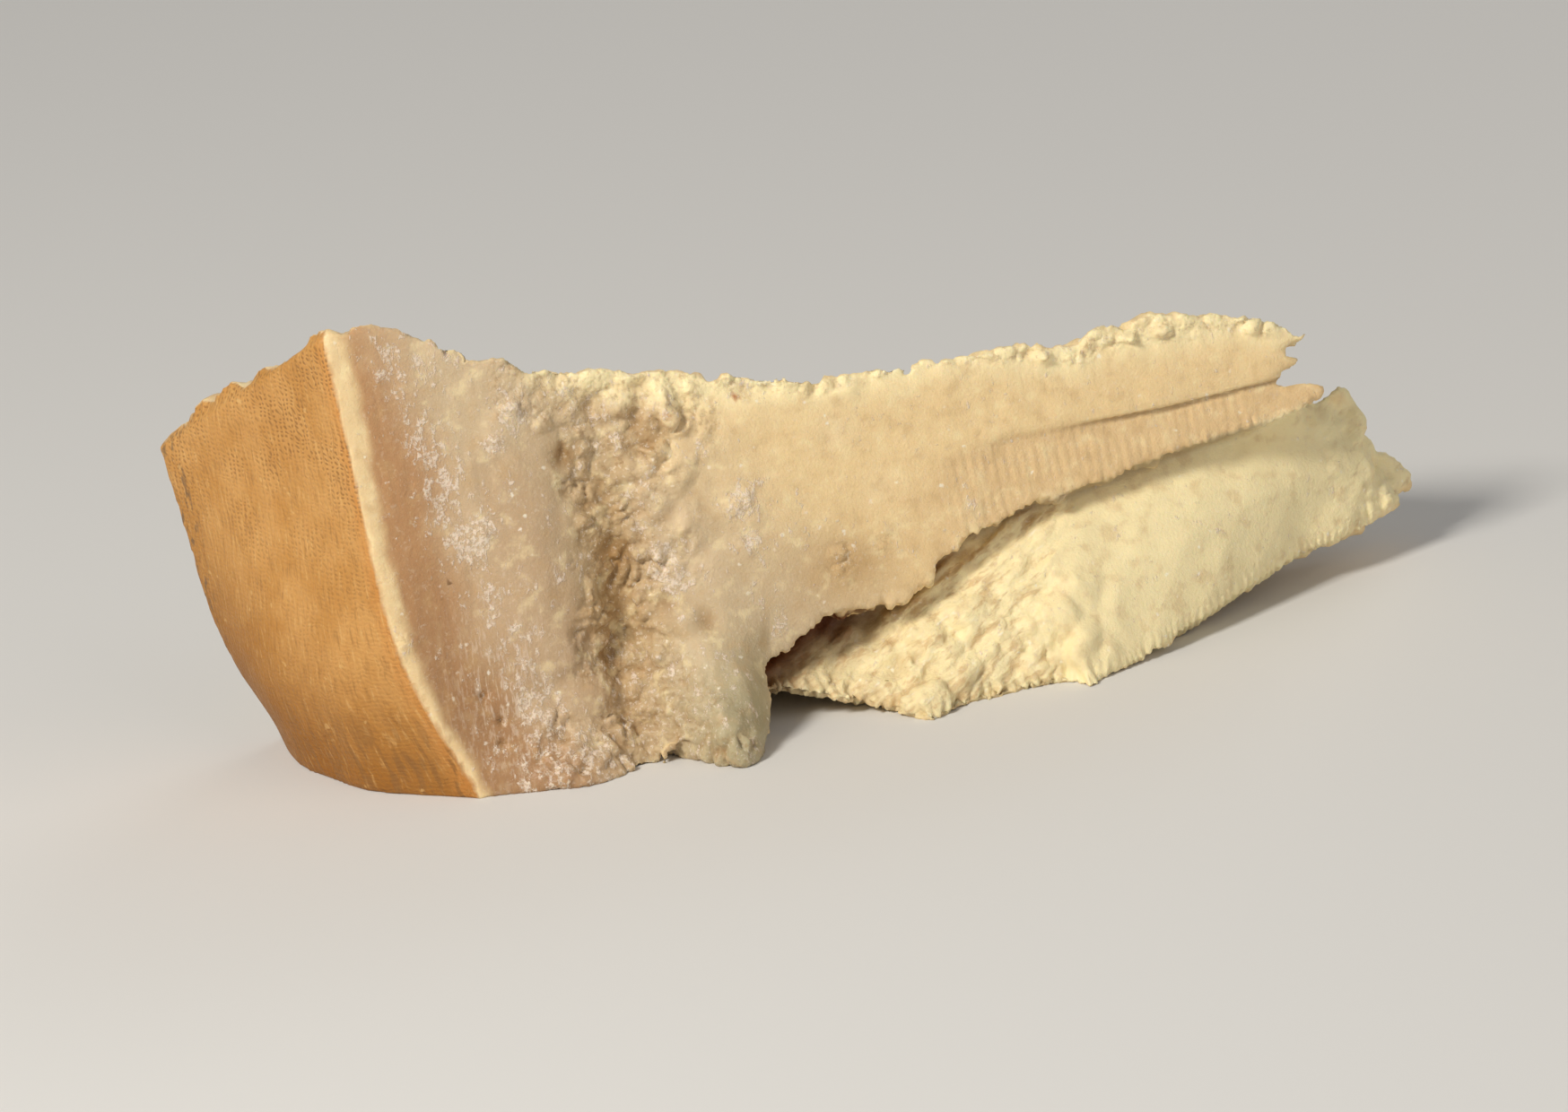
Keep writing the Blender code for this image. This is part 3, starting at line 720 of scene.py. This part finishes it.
def paste_colour(nodes, millimetres, powder, crumbly, glassy, folds):
    """Mottled paste with pale flecks, a few white crystals and dust, painted shade among crumbs, in
    fold creases and under the slab, painted highlights on fold crests, and where the dust lies.
    """
    colour = nodes.attribute("paste", 0)
    mottle = nodes.noise(millimetres, 2.4, 3.0, 0.55)
    colour = nodes.mix(nodes.span(mottle, 0.5, 0.72, 0.0, 0.35), colour, linear(DIMPLE_TONE_AND_SHADE))
    paler = nodes.times(nodes.span(mottle, 0.48, 0.28), nodes.span(glassy, 0.2, 0.8, 0.4, 0.08))
    colour = nodes.mix(paler, colour, linear(PALE_PASTE_AND_RIDGE_HIGHLIGHT))
    # painted shade in the folds' creases and a painted highlight on their crests
    colour = nodes.mix(nodes.span(folds, 0.50, 0.36, 0.0, 0.6), colour, linear(DIMPLE_TONE_AND_SHADE))
    colour = nodes.mix(nodes.span(folds, 0.62, 0.74, 0.0, 0.5), colour, linear(CRYSTAL_AND_CREST_HIGHLIGHT))
    # painted shade between the crumbs, in patches
    crumb_shade_noise = nodes.noise(millimetres, 0.9, 3.0, 0.6)
    dark = nodes.times(nodes.span(crumb_shade_noise, 0.48, 0.34), crumbly, 0.35)
    colour = nodes.mix(dark, colour, linear(CREASE_SHADE))
    flecks = nodes.noise(millimetres, 0.6, 2.0, 0.6)
    amount = nodes.span(crumbly, 0.0, 1.0, 0.12, 0.30)
    colour = nodes.mix(nodes.times(nodes.span(flecks, 0.56, 0.72), amount), colour, linear(CRYSTAL_AND_CREST_HIGHLIGHT))

    wander = nodes.add("ShaderNodeTexNoise", 1, (), Vector=millimetres, Scale=1.6, Detail=1.0)
    ragged = nodes.add("ShaderNodeVectorMath", 0, [("operation", "MULTIPLY_ADD")])
    for socket, value in zip(ragged.node.inputs, (wander, (0.8, 0.8, 0.8), millimetres)):
        nodes.feed(socket, value)
    cells = nodes.add("ShaderNodeTexVoronoi", 0, [("feature", "F1")], Vector=ragged, Scale=0.42)
    chosen = nodes.span(nodes.noise(millimetres, 7.0, 2.0), 0.42, 0.60)
    dots = nodes.times(nodes.span(cells, 0.05, 0.16, 0.6, 0.0), chosen)
    colour = nodes.mix(dots, colour, linear(CRYSTAL_AND_CREST_HIGHLIGHT))

    brushed = nodes.attribute("brushed", 2)
    drawn = nodes.noise(nodes.scaled(millimetres, 1.0, 1.0, 0.07), 0.45, 3.0, 0.6)
    scratch = nodes.times(nodes.span(drawn, 0.50, 0.64), brushed, 0.45)
    colour = nodes.mix(scratch, colour, linear(POWDER))

    dust = nodes.noise(nodes.scaled(millimetres, 1.0, 1.0, 0.6), 1.3, 4.0, 0.72)
    level = nodes.maths("ADD", dust, nodes.times(powder, 0.165))
    thin = nodes.span(nodes.noise(millimetres, 0.5, 3.0, 0.65), 0.38, 0.58, 0.15, 1.0)
    lying = nodes.times(nodes.span(level, 0.62, 0.70, 0.0, 0.85), thin)
    veil = nodes.times(powder, 0.06)
    colour = nodes.mix(nodes.maths("MAXIMUM", lying, veil), colour, linear(POWDER))
    # painted shade where the shelf runs in under the slab
    return nodes.mix(nodes.attribute("crevice_shade", 2), colour, linear(CREVICE_SHADE)), lying


def cheese_material():
    surface = bpy.data.materials.new("cheese")
    surface.use_nodes = True
    nodes = Nodes(surface.node_tree)
    shader = surface.node_tree.nodes["Principled BSDF"]
    position = nodes.add("ShaderNodeTexCoord", 3)
    scale = [("operation", "SCALE")]
    millimetres = nodes.add("ShaderNodeVectorMath", 0, scale, Vector=position, Scale=1.0 / MM)
    rind = nodes.attribute("rind", 2)
    glassy = nodes.attribute("glassy", 2)
    powder = nodes.attribute("powder", 2)
    crumbly = nodes.attribute("crumbly", 2)

    on_rind, weave = rind_colour(nodes, millimetres)
    folds = fold_noise(nodes, millimetres, nodes.attribute("flaky", 2))
    paste, dust = paste_colour(nodes, millimetres, powder, crumbly, glassy, folds)
    nodes.feed(shader.inputs["Base Color"], nodes.mix(rind, paste, on_rind))

    grain = nodes.noise(millimetres, 0.45, 2.0, 0.6)
    rough = nodes.span(grain, 0.3, 0.7, 0.48, 0.66)
    rough = nodes.maths("SUBTRACT", rough, nodes.times(glassy, 0.12))
    rough = nodes.maths("ADD", rough, nodes.times(dust, 0.25))
    nodes.feed(shader.inputs["Roughness"], rough)
    shader.inputs["Subsurface Weight"].default_value = SCATTER_SHARE
    shader.inputs["Subsurface Radius"].default_value = (1.0, 0.6, 0.3)
    shader.inputs["Subsurface Scale"].default_value = SCATTER_REACH * MM
    shader.inputs["Specular IOR Level"].default_value = SHINE

    smooth = [("feature", "SMOOTH_F1")]
    crumbs = nodes.add("ShaderNodeTexVoronoi", 0, smooth, Vector=millimetres, Scale=1.25,
                       Smoothness=0.3)
    bumpy = nodes.times(nodes.maths("SUBTRACT", 1.0, crumbs), crumbly, 1.3)
    woven = nodes.times(weave, rind, -0.3)
    raised = nodes.maths("ADD", nodes.maths("ADD", grain, bumpy), nodes.maths("ADD", woven, dust))
    raised = nodes.maths("ADD", raised, nodes.times(folds, 3.5))
    bump = nodes.tree.nodes.new("ShaderNodeBump")
    bump.inputs["Strength"].default_value = BUMP_STRENGTH
    bump.inputs["Distance"].default_value = BUMP_HEIGHT * MM
    nodes.feed(bump.inputs["Height"], raised)
    nodes.feed(shader.inputs["Normal"], bump.outputs[0])
    return surface


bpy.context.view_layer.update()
camera()
studio()
floor()
wedge = fine_skin(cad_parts[NODE])
make_skin(wedge)
wedge.data.materials.clear()
wedge.data.materials.append(cheese_material())
wedge.data.shade_smooth()
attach(wedge, "root")
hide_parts(NODE)
